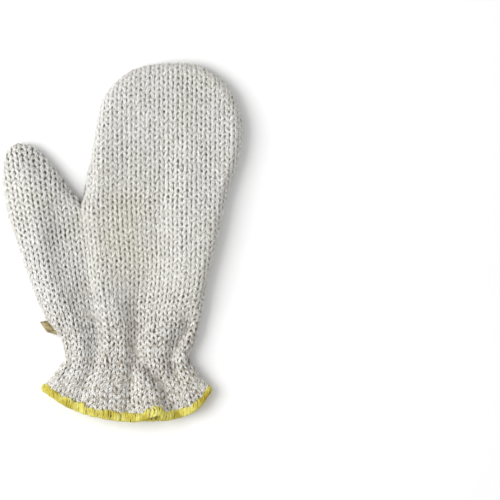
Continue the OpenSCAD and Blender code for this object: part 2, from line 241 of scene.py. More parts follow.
# Folds of the front panel, each from its upper end down.
# Each row is (y, x, width on the thumb side, width on the finger side, depth).
FRONT_FOLDS = [
    # between the thumb and the palm
    [(46, -36, 8, 5, 0), (34, -35, 17, 5, 6), (-6, -33, 21, 7, 10.5), (-39, -27, 18, 6, 10),
     (-64, -22, 11, 5.5, 7.5), (-82, -19.5, 7.5, 4.5, 7.5), (-98, -22, 6, 5, 5), (-112, -29, 5, 5, 2.5),
     (-150, -40, 7, 7, 1.5)],
    # down the middle of the palm
    [(110, 30, 34, 15, 0), (62, 32, 42, 12, 6), (0, 30, 48, 11.5, 10), (-30, 20, 26, 18, 10),
     (-50, 12, 10, 20, 10), (-75, 12, 7.5, 9, 10), (-92, 12, 6, 5.5, 7.5), (-112, 7, 5, 5, 4.5),
     (-130, 6, 5, 5, 3.5), (-152, 5, 6, 6, 1)],
    # the pleat that ends in the hem
    [(-90, 13, 4, 4, 0), (-103, 19, 3.5, 5, 6), (-115, 29, 5, 8, 8.5), (-127, 39, 8.5, 9, 9),
     (-142, 47, 10, 9, 9), (-154, 50, 10, 9, 9)],
    # the bent fold by the finger side
    [(-50, 60, 8, 8, 0), (-70, 54, 7, 6, 7), (-84, 47, 6.5, 5, 8), (-96, 41.5, 5.5, 4.5, 7),
     (-105, 41.5, 4.5, 5, 6.5), (-117, 48, 5.5, 5.5, 3), (-136, 57, 7, 7, 0), (-152, 60, 8, 8, 0)],
    # the finger side of the cuff falls away
    [(-92, 60, 10, 6, 0), (-105, 64, 12, 6, 5), (-125, 74, 16, 6, 8), (-152, 80, 18, 6, 8)],
    # shallow dents of the thumb's base, and a small fold on the thumb side of the wrist
    [(44, -52, 6, 8, 0), (30, -55, 8, 12, 3.5), (-10, -54, 9, 14, 4), (-34, -46, 7, 9, 0)],
    [(-2, -76, 9, 9, 0), (-14, -67, 9, 9, 2.0), (-26, -58, 9, 9, 0)],
    [(-60, -47, 5, 5, 0), (-78, -45, 4, 4, 3), (-94, -40, 4, 4, 3.5), (-108, -44, 5, 5, 2),
     (-140, -56, 7, 7, 0)],
]
# Small gathers of the back panel.
BACK_FOLDS = [
    [(-50, -8, 9, 9, 0), (-92, -9, 5, 5, 1.5), (-116, -11, 6, 6, 1.5), (-146, -14, 8, 8, 0)],
    [(-58, 26, 9, 9, 0), (-92, 25, 5, 5, 1.5), (-116, 30, 6, 6, 1.5), (-146, 36, 8, 8, 0)],
    [(-66, -31, 7, 7, 0), (-93, -30, 4.5, 4.5, 1.5), (-114, -37, 6, 6, 1.5), (-144, -44, 8, 8, 0)],
]
PLEAT_OVERLAP, PLEAT_REACH = 3.0, 5.0    # the pleat's cloth is pushed over its valley, within a reach
PLEAT_START = (-108, -134)               # and it comes on from the first y to the second
CREASE_END, CREASE_ROUNDING = 1.7, 0.012
CREASE_SCALE = 1.79                      # divides a crease, so that its middle is about 1 deep


def crease(s):
    """A valley with straight slopes, rounded in its middle and where it ends on both sides."""
    up = 1 - np.sqrt((s / CREASE_END) ** 2 + CREASE_ROUNDING)
    return (up + np.sqrt(up**2 + CREASE_ROUNDING)) / CREASE_SCALE


def fold_depth(folds, x, y):
    """How deep all the folds together press the cloth in."""
    depth = np.zeros_like(x)
    for rows in folds:
        ys, centres, near, far, depths = np.array(rows[::-1], float).T
        off = x - np.interp(y, ys, centres)
        width = np.where(off < 0, np.interp(y, ys, near), np.interp(y, ys, far))
        depth += np.interp(y, ys, depths) * crease(off / width)
    return depth


def ripple(x, y, phase):
    """Small unevenness of soft cloth: long crossed waves with shorter ones on them."""
    return (np.sin(x / 13 + y / 31 + phase) * np.sin(y / 17 - x / 41 + 2 * phase)
            + 0.6 * np.sin(x / 7.5 - y / 12 + 3 * phase) * np.sin(y / 9 + x / 23 + phase))


def spare_cloth(nearest, side):
    """How much wider than the outline the cloth is at a point of the edge. Tight bends leave less room."""
    from_crotch = np.linalg.norm(nearest - CROTCH, axis=-1)
    from_tip = np.linalg.norm(nearest - THUMB_TIP_MID, axis=-1)
    crotch_room = CROTCH_ROOM[0] + CROTCH_ROOM[1] * from_crotch
    tip_room = TIP_ROOM[0] + TIP_ROOM[1] * np.maximum(from_tip - TIP_RADIUS, 0)
    return np.minimum(EDGE_SPARE[side], np.minimum(crotch_room, tip_room))


def front_reach(cloth):
    """Width of the front's round edge: widest along the thumb, narrow on the finger side and the cuff."""
    x, y = cloth[..., 0], cloth[..., 1]
    hand, cuff = np.interp(x, *HAND_REACH), np.interp(x, *CUFF_REACH)
    return hand + (cuff - hand) * smooth(-60, -85, y)


def surface(cloth, side):
    """Where a point of the flat cloth lies in space, in the middle of its thickness."""
    reach = front_reach(cloth) if side == FRONT else BACK_REACH
    inside = field.distance(cloth)
    inward = field.inward(cloth)
    nearest = cloth - inward * inside[..., None]
    from_crotch = np.linalg.norm(nearest - CROTCH, axis=-1)
    spare = spare_cloth(nearest, side)
    along = inside + spare
    turn = np.clip(along / (reach + spare), 0, 1) * np.pi / 2
    roundness = smooth(0, 45, from_crotch)
    bulge = roundness * (1 - np.cos(turn)) + (1 - roundness) * turn / (np.pi / 2)
    depth = EDGE_INSET + (reach - EDGE_INSET) * bulge
    turned = np.maximum(-along, 0)
    depth = np.maximum(depth, inside)
    flat = np.where((depth > inside)[..., None], nearest + inward * (depth + turned)[..., None], cloth)
    inward_share = np.clip((field.rounded(cloth) + spare) / (reach + spare), 0, 1)
    rise = np.sin(inward_share * np.pi / 2)
    if side == FRONT:
        # the thumb's side slopes up evenly and is not as round as the rest
        straight = 1.25 * inward_share - 0.25 * inward_share**5
        rise = rise + (straight - rise) * smooth(-45, -75, cloth[..., 0])
    x, y = flat[..., 0], flat[..., 1]
    foot = SEAM_Z + side * (SEAM_APART + (TURNED_APART - SEAM_APART) * smooth(0, 2, turned))
    if side == FRONT:
        top = crown(y) - MID_DEPTH[FRONT] + RIPPLES[FRONT] * ripple(x, y, 1.0)
        z = foot + (top - foot) * rise - fold_depth(FRONT_FOLDS, x, y) * rise**2
        low = FRONT_LOWEST + LOWEST_LIFT * np.exp(-((y - GATHER_Y) / LOWEST_SPREAD) ** 2)
        above = np.logaddexp(0, (z - low) / LOWEST_SOFTNESS) * LOWEST_SOFTNESS
        z = np.where(rise > 0.5, low + above, z)
        pleat = smooth(*PLEAT_START, y) * np.exp(-((x - PLEAT_X + 1) / PLEAT_REACH) ** 2)
        x = x + PLEAT_OVERLAP * pleat * rise
    else:
        lift = GATHER_LIFT * np.exp(-((y - GATHER_Y) / GATHER_SPREAD) ** 2)
        lift = lift + HEM_ROOM * smooth(10, 6, y - hem_y(x))
        bottom = MID_DEPTH[BACK] + lift + RIPPLES[BACK] * np.maximum(ripple(x, y, 2.0), 0)
        z = foot + (bottom - foot) * rise + fold_depth(BACK_FOLDS, x, y) * rise**2
    return np.stack([x, y, z], -1)


def surface_normal(cloth, side):
    e = 0.35
    dx = surface(cloth + (e, 0), side) - surface(cloth - (e, 0), side)
    dy = surface(cloth + (0, e), side) - surface(cloth - (0, e), side)
    return unit(side * np.cross(dx, dy))


def place(cloth, height, side):
    """A point at a height over the cloth's middle, and the cloth's normal there."""
    n = surface_normal(cloth, side)
    return surface(cloth, side) + n * height[..., None], n


# ---------------------------------------------------------------- tubes of yarn and thread
def frame_along(centres, normals):
    """Directions across a line of points and up from it, and its length up to each point."""
    tangent = unit(np.gradient(centres, axis=0))
    across = unit(np.cross(tangent, normals))
    return across, np.cross(across, tangent), run_along(centres)


class Tubes:
    """Collects tubes into one mesh. Each vertex keeps its place on the yarn for the material."""

    def __init__(self, sides):
        self.sides = sides
        self.points, self.yarn, self.cloth, self.relief = [], [], [], []
        self.quads, self.caps = [], []
        self.count = 0

    def add(self, centres, normals, radius, lay, start=0.0, lobes=0, lobe_depth=0.0, relief=0.0):
        """One tube along the centres. Its twist makes one turn in each lay; lobes give it strands."""
        k, sides = len(centres), self.sides
        across, up, run = frame_along(centres, normals)
        length = start + run
        angle = 2 * np.pi * np.arange(sides) / sides
        turned = angle[None] - (2 * np.pi * length / lay)[:, None]
        swell = 1 + lobe_depth * np.cos(lobes * turned)
        r = (np.broadcast_to(radius, (k,))[:, None] * swell)[..., None]
        ring = np.cos(angle)[None, :, None] * up[:, None] + np.sin(angle)[None, :, None] * across[:, None]
        self.points.append((centres[:, None] + r * ring).reshape(-1, 3))
        self.yarn.append(np.stack([np.repeat(length[:, None], sides, 1),
                                   np.cos(turned), np.sin(turned)], -1).reshape(-1, 3))
        self.cloth.append(np.repeat(normals, sides, axis=0))
        self.relief.append(np.repeat(np.broadcast_to(relief, (k,)), sides))
        ends = self.count + np.arange(sides)
        rows = np.arange(k - 1)[:, None] * sides
        a, b = rows + ends, rows + np.roll(ends, -1)
        self.quads.append(np.stack([a, b, b + sides, a + sides], -1).reshape(-1, 4))
        self.caps.append(ends[::-1])
        self.caps.append(ends + (k - 1) * sides)
        self.count += k * sides

    def add_plied(self, centres, normals, radius, start, phase, relief):
        """A loose yarn of several strands that turn round each other."""
        if len(centres) < 2:
            return
        across, up, length = frame_along(centres, normals)
        for k in range(STRANDS):
            knots = int(length[-1] / KINK) + 3
            loose, bow, fat = (np.interp(length / KINK + shift, np.arange(knots), rng.normal(size=knots))
                               for shift in (0, 0.5, 0.25))
            turn = 2 * np.pi * (k / STRANDS + (length + start) / STRAND_LAY) + phase + STRAND_BOW * bow
            out = radius * STRAND_RING * (1 + STRAND_LOOSE * loose)
            strand = (centres + (STRAND_THIN * out * np.cos(turn))[:, None] * up
                      + (STRAND_FLAT * out * np.sin(turn))[:, None] * across)
            self.add(strand, normals, radius * STRAND_RADIUS * (1 + STRAND_FAT * fat),
                     start=start + STRAND_SHIFT * k, lobes=2, lobe_depth=LOBE_DEPTH, lay=STRAND_TWIST,
                     relief=relief)

    def make(self, name, material):
        points = np.vstack(self.points) * MM
        quads = np.vstack(self.quads)
        caps = np.array(self.caps)
        mesh = bpy.data.meshes.new(name)
        mesh.vertices.add(len(points))
        mesh.vertices.foreach_set("co", points.astype(np.float32).ravel())
        corners = np.concatenate([quads.ravel(), caps.ravel()])
        sizes = np.concatenate([np.full(len(quads), 4), np.full(len(caps), self.sides)])
        starts = np.concatenate([[0], np.cumsum(sizes)[:-1]])
        mesh.loops.add(len(corners))
        mesh.loops.foreach_set("vertex_index", corners.astype(np.int32))
        mesh.polygons.add(len(sizes))
        mesh.polygons.foreach_set("loop_start", starts.astype(np.int32))
        mesh.update(calc_edges=True)
        mesh.polygons.foreach_set("use_smooth", np.ones(len(sizes), bool))
        for key, rows in (("yarn", self.yarn), ("cloth", self.cloth)):
            attribute = mesh.attributes.new(key, "FLOAT_VECTOR", "POINT")
            attribute.data.foreach_set("vector", np.vstack(rows).astype(np.float32).ravel())
        # relief: 1 at a loop's legs, -1 at its heads; the yarn's material paints shade from it
        relief = mesh.attributes.new("relief", "FLOAT", "POINT")
        relief.data.foreach_set("value", np.concatenate(self.relief).astype(np.float32))
        mesh.materials.append(material)
        return put_in_scene(name, mesh)


# ---------------------------------------------------------------- the knit
WALE = 7.74            # width of a stitch
COURSE = 4.9           # height of a stitch
YARN_RADIUS = 1.3
LOOP_SWING = 1.8       # how far a loop's legs swing in under its head
LOOP_HEIGHT = 4.0      # half the height of a whole loop
LOOP_DEPTH = 0.95      # how far heads and legs lie behind and before the cloth's middle
RINGS_PER_STITCH = 16
STRANDS = 3
STRAND_SIDES = 5
STRAND_RING = 0.56     # distance of a strand from the yarn's middle, as a share of the yarn's radius
STRAND_RADIUS = 0.5
STRAND_FLAT = 1.42     # the yarn is flattened: this much wider in the cloth's plane
STRAND_THIN = 0.7      # and this much thinner across it
STRAND_LAY = 8.0       # length in which the strands turn once round each other
STRAND_TWIST = 1.9     # length in which a strand turns once round itself
STRAND_SHIFT = 37.0    # the strands' markings are this far apart along the yarn
RING_SHIFT, COURSE_TURN = 0.9, 1.7       # so that no two stretches of yarn begin alike
KINK = 1.9             # length of the kinks in the strands
# How unevenly a strand turns, how far it strays from the yarn's middle, and how its radius varies.
STRAND_BOW, STRAND_LOOSE, STRAND_FAT = 0.45, 0.18, 0.12
LOBE_DEPTH = 0.16      # of the grooves between the two fibres that a strand and the hem's thread show
TURNED_IN = 4.5        # width of cloth turned inside at the seam
EDGE_JUMP = 2.5        # nearest points of the edge this far apart are on different stretches of it
HEM_CUT = 0.8          # the knit ends this far above the hem's line
WALES = np.arange(-15, 16)
COURSES = range(-32, 33)
FINGER_CUT_Y = 36.0    # the knit's pieces meet at these heights, and at the thumb's root
CUFF_CUT_Y = -70.0
GATHERED = (-20, -75)  # the knit is gathered from the first of these heights, fully from the second
FLARED = (-102, -124)  # and fuller again towards the hem between these
GATHER_ROUGH = 1.1     # how much rougher the knit is where it is gathered
GATHER_DEEPER = 0.45   # how much deeper its stitches are there
GATHER_THINNER = 0.1   # how much the yarn is squeezed there
PULL_DEEPER = 0.35     # the same two by the root of the thumb, where the cloth is pulled lengthways
PULL_THINNER = 0.06
PULLED = (-32, -48), (-88, -60)          # that is where these two slopes across the knit are both high
HEM_FULLER = 0.16      # how much it fills out again towards the hem
RIB_HEIGHT = 0.5       # how far single columns of stitches stand out where it is gathered
# Unevenness of a stitch: its legs' swing, its place, its height, its depth and its yarn's thickness.
ROUGH_SWING, ROUGH_PLACE, ROUGH_HEIGHT, ROUGH_DEPTH, ROUGH_YARN = 0.12, 0.2, 0.15, 0.1, 0.05
LEAN = 0.17            # how far the wales lean over towards the thumb
LEAN_FROM = 34.0       # the height at which a leaning wale is still in its place
LEAN_END, LEAN_SOFTNESS = -50.0, 15.0    # below this the wales don't lean further
WRIST_X = 3.0          # the middle that the wrist is drawn in towards
GATHER = 0.2           # how much it is drawn in
GATHER_ABOVE, GATHER_BELOW = 45.0, 24.0  # how far that reaches up the palm and down the cuff
CUFF_FLARE = 0.08      # how much the cuff spreads towards the hem


def warp(u, v):
    """From the straight knit to the flat cloth: wales lean in the thumb and draw in at the wrist."""
    high = LEAN_END + LEAN_SOFTNESS * np.logaddexp(0, (v - LEAN_END) / LEAN_SOFTNESS)
    x = u - LEAN * smooth(-15, -98, u) * (high - LEAN_FROM)
    above = GATHER * np.exp(-((v - WRIST_Y) / GATHER_ABOVE) ** 2)
    below = GATHER * np.exp(-((v - WRIST_Y) / GATHER_BELOW) ** 2)
    drawn = np.where(v > WRIST_Y, above, below - CUFF_FLARE * smooth(WRIST_Y - 5, -140, v))
    return np.stack([WRIST_X + (x - WRIST_X) * (1 - drawn), v + 0 * x], -1)


class Evening:
    """Slides the wales sideways so that they are evenly spaced over the folds, as in gathered cloth."""

    U = np.arange(-140.0, 141.0, 1.0)
    V_STEP = 2.0
    V = np.arange(-170.0, 62.0, V_STEP)
    SHARE = 0.85           # 1 would space them out completely
    BLUR = np.exp(-((np.arange(-4, 5) / 2.0) ** 2))

    def __init__(self, side):
        rows = []
        for v in self.V:
            cloth = warp(self.U, np.full_like(self.U, v))
            inside = np.flatnonzero(field.distance(cloth) > 0)
            shift = np.zeros_like(self.U)
            if len(inside) > 20:
                part = slice(inside[0], inside[-1] + 1)
                run = run_along(surface(cloth[part], side))
                u = self.U[part]
                even = np.interp((u - u[0]) / (u[-1] - u[0]), run / run[-1], u)
                shift[part] = (even - u) * self.SHARE * smooth(45, 10, v)
            rows.append(shift)
        table = np.array(rows)
        ends = len(self.BLUR) // 2
        padded = np.pad(table, ((ends, ends), (0, 0)), mode="edge")
        blurred = [w * padded[k:k + len(table)] for k, w in enumerate(self.BLUR)]
        self.table = np.sum(blurred, axis=0) / self.BLUR.sum()

    def __call__(self, u, v):
        i = np.clip(u - self.U[0], 0, len(self.U) - 1.001)
        j = np.clip((v - self.V[0]) / self.V_STEP, 0, len(self.V) - 1.001)
        return u + between(self.table.T, i, j)


def knit_piece_of(cloth):
    """Which piece of the knit a point of the flat cloth belongs to: 0 palm, 1 fingers, 2 thumb, 3 cuff."""
    x, y = cloth[..., 0], cloth[..., 1]
    outward = (cloth - THUMB_ROOT) @ ROOT_OUT
    thumb_side = x < CROTCH[0] - 0.24 * (y - CROTCH[1])
    piece = np.zeros(x.shape, int)
    piece[y > FINGER_CUT_Y] = 1
    piece[(outward > 0) & ((y <= FINGER_CUT_Y) | thumb_side)] = 2
    piece[y < CUFF_CUT_Y] = 3
    return piece


def loops(course, wales, even, ribs):
    """One course of knitting: flat cloth coordinates, height, thickness, and 1 at legs to -1 at heads."""
    t = np.arange(len(wales) * RINGS_PER_STITCH + 1) * 2 * np.pi / RINGS_PER_STITCH
    uneven = rng.normal(size=(4, len(wales) + 2))
    at = t / (2 * np.pi)
    wobble = [np.interp(at, np.arange(len(wales) + 2) - 0.5, row) for row in uneven]
    gathered, flared = smooth(*GATHERED, course * COURSE), smooth(*FLARED, course * COURSE)
    rough = 1 + GATHER_ROUGH * gathered * (1 - 0.5 * flared)
    swing = LOOP_SWING + ROUGH_SWING * rough * wobble[0]
    u = wales[0] * WALE + at * WALE + swing * np.sin(2 * t)
    u = u + ROUGH_PLACE * rough * wobble[3]
    v = course * COURSE - (LOOP_HEIGHT + ROUGH_HEIGHT * rough * wobble[1]) * np.cos(t)
    pulled = smooth(*PULLED[0], u) * smooth(*PULLED[1], u) * (1 - gathered)
    deeper = 1 + GATHER_DEEPER * gathered * (1 - flared) + PULL_DEEPER * pulled
    height = -(LOOP_DEPTH * deeper + ROUGH_DEPTH * rough * wobble[2]) * np.cos(2 * t)
    height = height + RIB_HEIGHT * gathered * np.interp(2 * at, np.arange(len(ribs)), ribs)
    swell = 1 - GATHER_THINNER * gathered + HEM_FULLER * flared - PULL_THINNER * pulled
    swell = (1 + ROUGH_YARN * wobble[0]) * swell
    return warp(even(u, v), v), height, swell, -np.cos(2 * t)


def runs(keep):
    """First and last index of each unbroken run of True."""
    edges = np.flatnonzero(np.diff(np.concatenate([[0], keep.astype(int), [0]])))
    return zip(edges[::2], edges[1::2] - 1)


def knit_panel(side):
    """All the courses of one panel, sorted into the pieces of the knit."""
    pieces = [Tubes(STRAND_SIDES) for _ in range(4)]
    wales = WALES + (0.0 if side == FRONT else 0.5)
    even = Evening(side)
    ribs = rng.normal(size=2 * len(wales) + 2)
    for course in COURSES:
        cloth, height, swell, relief = loops(course, wales, even, ribs)
        inside = field.distance(cloth)
        nearest = cloth - field.inward(cloth) * inside[:, None]
        spare = spare_cloth(nearest, side)
        above_hem = cloth[:, 1] > hem_y(cloth[:, 0], side) + HEM_CUT
        # past the edge, the yarn stops where the nearest stretch of edge changes
        jumps = np.concatenate([[False], np.linalg.norm(np.diff(nearest, axis=0), axis=1) > EDGE_JUMP])
        keep = (inside > -spare - TURNED_IN) & above_hem & ~(jumps & (inside < 0))
        if not keep.any():
            continue
        points, normals = place(cloth, height, side)
        owner = knit_piece_of(cloth)
        for first, last in runs(keep):
            cut = first + np.flatnonzero(np.diff(owner[first:last + 1])) + 1
            for a, b in zip([first, *cut], [*cut, last]):
                part = slice(a, b + 1)
                pieces[owner[a]].add_plied(points[part], normals[part], YARN_RADIUS * swell[part],
                                           start=a * RING_SHIFT, phase=course * COURSE_TURN,
                                           relief=relief[part])
    return pieces


# ---------------------------------------------------------------- threads, elastic and ribbon
def panel_edge(line, first, last, count):
    """Points on the seam line, and the direction into the mitt there."""
    points = spline(line, np.linspace(first, last, count))
    along = unit(np.gradient(points, axis=0))
    return points, np.stack([along[:, 1], -along[:, 0]], 1)


SEAM_STITCH = 3.0
SEAM_RINGS = 12           # rings of the tube in one stitch
SEAM_DEPTH = 4.6          # how far inside the outline the thread's middle runs
SEAM_REACH = (2.6, 3.4)   # how far it goes round the edges, across and up
SEAM_THREAD = 0.3         # its radius
THREAD_LAY = 1.5
THREAD_SIDES = 6


def seam_thread(line, first, last):
    """Overlock thread wound round both turned-in edges, inside the mitt."""
    rough, _ = panel_edge(line, first, last, 200)
    turns = round(run_along(rough)[-1] / SEAM_STITCH)
    points, inward = panel_edge(line, first, last, turns * SEAM_RINGS + 1)
    angle = np.arange(len(points)) * 2 * np.pi / SEAM_RINGS
    flat = points + inward * (SEAM_DEPTH + SEAM_REACH[0] * np.cos(angle))[:, None]
    centres = np.column_stack([flat, SEAM_Z + SEAM_REACH[1] * np.sin(angle)])
    normals = np.column_stack([inward * np.cos(angle)[:, None], np.sin(angle)])
    return centres, normals


# The pieces of the closing seam: the part of the mitt, the CAD nodes, and the stretches that it closes,
# each an edge and the numbers of the first and last point there.
SEAMS = (
    ("fingers", ["finger_seam"], [(HAND_LINE, 1, 15)]),
    ("thumb", ["thumb_seam"], [(THUMB_LINE, 4.3, 14.4)]),
    ("palm", ["palm_outer_seam", "palm_thumb_seam", "palm_web_seam"],
     [(HAND_LINE, 0.25, 1), (HAND_LINE, 15, 20.4), (THUMB_LINE, 2.6, 4.0)]),
    ("cuff", ["cuff_outer_seam", "cuff_thumb_seam"], [(HAND_LINE, 20.6, 22.4), (THUMB_LINE, 0.6, 2.4)]),
)


def seam_piece(part, stretches, material):
    tubes = Tubes(THREAD_SIDES)
    for line, first, last in stretches:
        tubes.add(*seam_thread(line, first, last), SEAM_THREAD, THREAD_LAY)
    return tubes.make(f"seam_{part}", material)


STITCH_PITCH = 3.0
STITCH_REACH = 2.2        # half the zigzag's width
STITCH_ENDS = (-45.5, 51.5)
STITCH_RINGS = 8
STITCH_THREAD = 0.35      # radius
STITCH_OVER, STITCH_DIVE = 1.2, 1.6      # its height over the cloth's middle, and its drop at a corner


def gather_stitch(side, name, material):
    """Zigzag thread that holds the elastic; it dives through the knit at each corner."""
    corners = int((STITCH_ENDS[1] - STITCH_ENDS[0]) / STITCH_PITCH) * 2
    t = np.arange(corners * STITCH_RINGS + 1) / STITCH_RINGS
    x = STITCH_ENDS[0] + (STITCH_ENDS[1] - STITCH_ENDS[0]) * t / corners
    y = GATHER_Y + STITCH_REACH * 2 / np.pi * np.arcsin(0.98 * np.cos(np.pi * t))
    height = STITCH_OVER - STITCH_DIVE * np.cos(np.pi * t) ** 8
    points, normals = place(np.stack([x, y], 1), height, side)
    tubes = Tubes(THREAD_SIDES)
    tubes.add(points, normals, STITCH_THREAD, THREAD_LAY)
    return tubes.make(name, material)


ELASTIC_Y = (-94.3, -90.4, -86.6)
ELASTIC_THICK = 1.2
ELASTIC_UNDER = 2.35      # its outer face lies this far under the knit's middle
ELASTIC_FROM_EDGE = 4.5
ELASTIC_POINTS = 150      # along it on each panel


def grid_mesh(name, rows, material, closed_rows=True):
    """Mesh over rows of points, each row a closed loop. With closed_rows the last row joins the first."""
    rows = np.asarray(rows, float)
    count, width = rows.shape[:2]
    last = count if closed_rows else count - 1
    j, i = np.meshgrid(np.arange(last), np.arange(width), indexing="ij")
    here, there = j * width, (j + 1) % count * width
    a, b, c, d = here + i, here + (i + 1) % width, there + (i + 1) % width, there + i
    faces = np.stack([a, b, c, d], -1).reshape(-1, 4).tolist()
    if not closed_rows:
        faces += [list(range(width))[::-1], [(count - 1) * width + k for k in range(width)]]
    mesh = bpy.data.meshes.new(name)
    mesh.from_pydata((rows.reshape(-1, 3) * MM).tolist(), [], faces)
    mesh.polygons.foreach_set("use_smooth", np.ones(len(faces), bool))
    mesh.update()
    mesh.materials.append(material)
    return put_in_scene(name, mesh)


def make_elastic(material):
    """One closed band inside the wrist, lying against the gathered knit."""
    def ring(y, under):
        xs = np.linspace(-150, 150, 1501)      # its ends are looked for in steps of 0.2
        row = np.stack([xs, np.full_like(xs, y)], 1)
        inside = xs[field.distance(row) > ELASTIC_FROM_EDGE]
        x = np.linspace(inside[0], inside[-1], ELASTIC_POINTS)
        cloth = np.stack([x, np.full_like(x, y)], 1)
        front, _ = place(cloth, np.full(len(x), -under), FRONT)
        back, _ = place(cloth[::-1], np.full(len(x), -under), BACK)
        return np.vstack([front, back])
    outer = [ring(y, ELASTIC_UNDER) for y in ELASTIC_Y]
    inner = [ring(y, ELASTIC_UNDER + ELASTIC_THICK) for y in ELASTIC_Y[::-1]]
    rows = np.stack(outer + inner, 1)
    return grid_mesh("wrist_elastic_band", rows, material)


HEM_WIDTH = 6.4           # of the overlock, from the edge up
HEM_THREAD = 0.78         # radius
HEM_LAY = 1.6
HEM_STITCH = 1.35         # from one turn of the winding to the next
HEM_HEIGHT = 2.15         # of the thread over the knit's middle
HEM_RINGS = 20
HEM_WRAP = {FRONT: 4.5, BACK: 1.0}       # how far each half goes on past the ends of the hem
HEM_LEAN = 0.8            # how far the legs slant on average
# Unevenness of the winding: of its legs' reach, spacing, distance from the edge, lift and thickness.
HEM_LOOSE, HEM_SLIP, HEM_EDGE_SLIP, HEM_LIFT, HEM_FAT = 0.12, 0.12, 0.175, 0.25, 0.1
# The second winding: its width and thickness as a share of the first, and its extra height.
HEM_SECOND_WIDTH, HEM_SECOND_THICK, HEM_SECOND_LIFT = 0.8, 0.8, 0.12


def hem_thread(side, name, material):
    """Overlock at the hem: two uneven windings of thread over the raw edge, in slanting legs."""
    ends = HEM_LINE[0, 0] - HEM_WRAP[side], HEM_LINE[-1, 0] + HEM_WRAP[side]
    x = np.linspace(*ends, 800)
    solid = surface(np.stack([x, hem_y(x, side) + 3], 1), side)
    travelled = run_along(solid)
    turns = int(travelled[-1] / HEM_STITCH)
    tubes = Tubes(7)

    def wind(offset, width, height, thickness):
        t = np.arange(turns * HEM_RINGS + 1) / HEM_RINGS
        uneven = rng.normal(size=(3, turns + 2))
        loose, low, slip = (np.interp(t, np.arange(turns + 2), row) for row in uneven)
        at = np.interp((t + offset + HEM_SLIP * slip) / turns * travelled[-1], travelled, x)
        outward = np.sin(2 * np.pi * t)      # below 0 inside the mitt
        reach = width / 2 * (1 + HEM_LOOSE * loose)
        up = hem_y(at, side) + HEM_EDGE_SLIP * low + reach - reach * np.cos(2 * np.pi * t)
        lift = (height + HEM_LIFT * loose) * np.sign(outward) * np.abs(outward) ** 0.45
        points, normals = place(np.stack([at + (HEM_LEAN + low) * outward, up], 1), lift, side)
        normals = normals * np.where(outward >= 0, 1, -1)[:, None]
        tubes.add(points, normals, thickness * (1 + HEM_FAT * loose), HEM_LAY, lobes=2,
                  lobe_depth=LOBE_DEPTH)

    wind(0.0, HEM_WIDTH, HEM_HEIGHT, HEM_THREAD)
    wind(0.5, HEM_WIDTH * HEM_SECOND_WIDTH, HEM_HEIGHT + HEM_SECOND_LIFT, HEM_THREAD * HEM_SECOND_THICK)
    return tubes.make(name, material)


TAB_FOOT = np.array((-58.33, -70.34))            # 0.9 inside the hinge of tab_swing
TAB_INWARD = np.array((0.829135, 0.559048))      # square to that hinge, into the mitt
TAB_WIDTH = 10.2
TAB_TAIL = 5.0                # of the ribbon at each end, sewn into the seam
TAB_OUT = 6.4                 # how far the loop stands out of the seam
TAB_SLIP = (1.5, 4.3, -3.4)   # along the seam: the front tail's foot, the fold and the back tail's foot
TAB_CURL = 0.35               # how far the loop's edges curl up and down
TAB_STEPS = 8                 # points of the ribbon's curve from one bend to the next
RIBBON_THICK = 0.4


def make_ribbon(material):
    """The ribbon, folded into a loop. Its tails are sewn into the seam at different slants."""
    bends = np.array([
        (-TAB_TAIL, 0.34), (-1.5, 0.34), (0.8, 0.5), (2.6, 1.15), (4.6, 1.35), (5.8, 0.95), (TAB_OUT, 0.05),
        (5.8, -0.85), (4.6, -1.2), (2.6, -0.95), (0.8, -0.5), (-1.5, -0.34), (-TAB_TAIL, -0.34)])
    count = (len(bends) - 1) * TAB_STEPS + 1
    profile = spline(bends, np.linspace(0, len(bends) - 1, count))
    tangent = unit(np.gradient(profile, axis=0))
    out = np.stack([-tangent[:, 1], tangent[:, 0]], 1)
    along = np.array((-TAB_INWARD[1], TAB_INWARD[0]))
    reach = np.clip(profile[:, 0] / TAB_OUT, -0.3, 1)
    tail = np.where(np.arange(count) < count / 2, TAB_SLIP[0], TAB_SLIP[2])
    slip = tail + (TAB_SLIP[1] - tail) * reach
    rows = []
    for w in np.linspace(-0.5, 0.5, 25):
        curl = TAB_CURL * smooth(0, 5, profile[:, 0]) * np.sin(5 * w + 1)

        def sheet_side(offset):
            flat = (TAB_FOOT - TAB_INWARD * (profile[:, 0] + offset * out[:, 0])[:, None]
                    + along * (w * TAB_WIDTH + slip)[:, None])
            return np.column_stack([flat, SEAM_Z + profile[:, 1] + offset * out[:, 1] + curl])

        rows.append(np.vstack([sheet_side(RIBBON_THICK / 2), sheet_side(-RIBBON_THICK / 2)[::-1]]))
    piece = grid_mesh("ribbon_loop", rows, material, closed_rows=False)
    length = run_along(profile)
    along_row = np.concatenate([length, length[::-1]])
    weave = np.zeros((len(rows), len(along_row), 3))
    weave[..., 0] = along_row
    weave[..., 1] = TAB_WIDTH * np.linspace(-0.5, 0.5, len(rows))[:, None]
    attribute = piece.data.attributes.new("weave", "FLOAT_VECTOR", "POINT")
    attribute.data.foreach_set("vector", weave.astype(np.float32).ravel())
    return piece


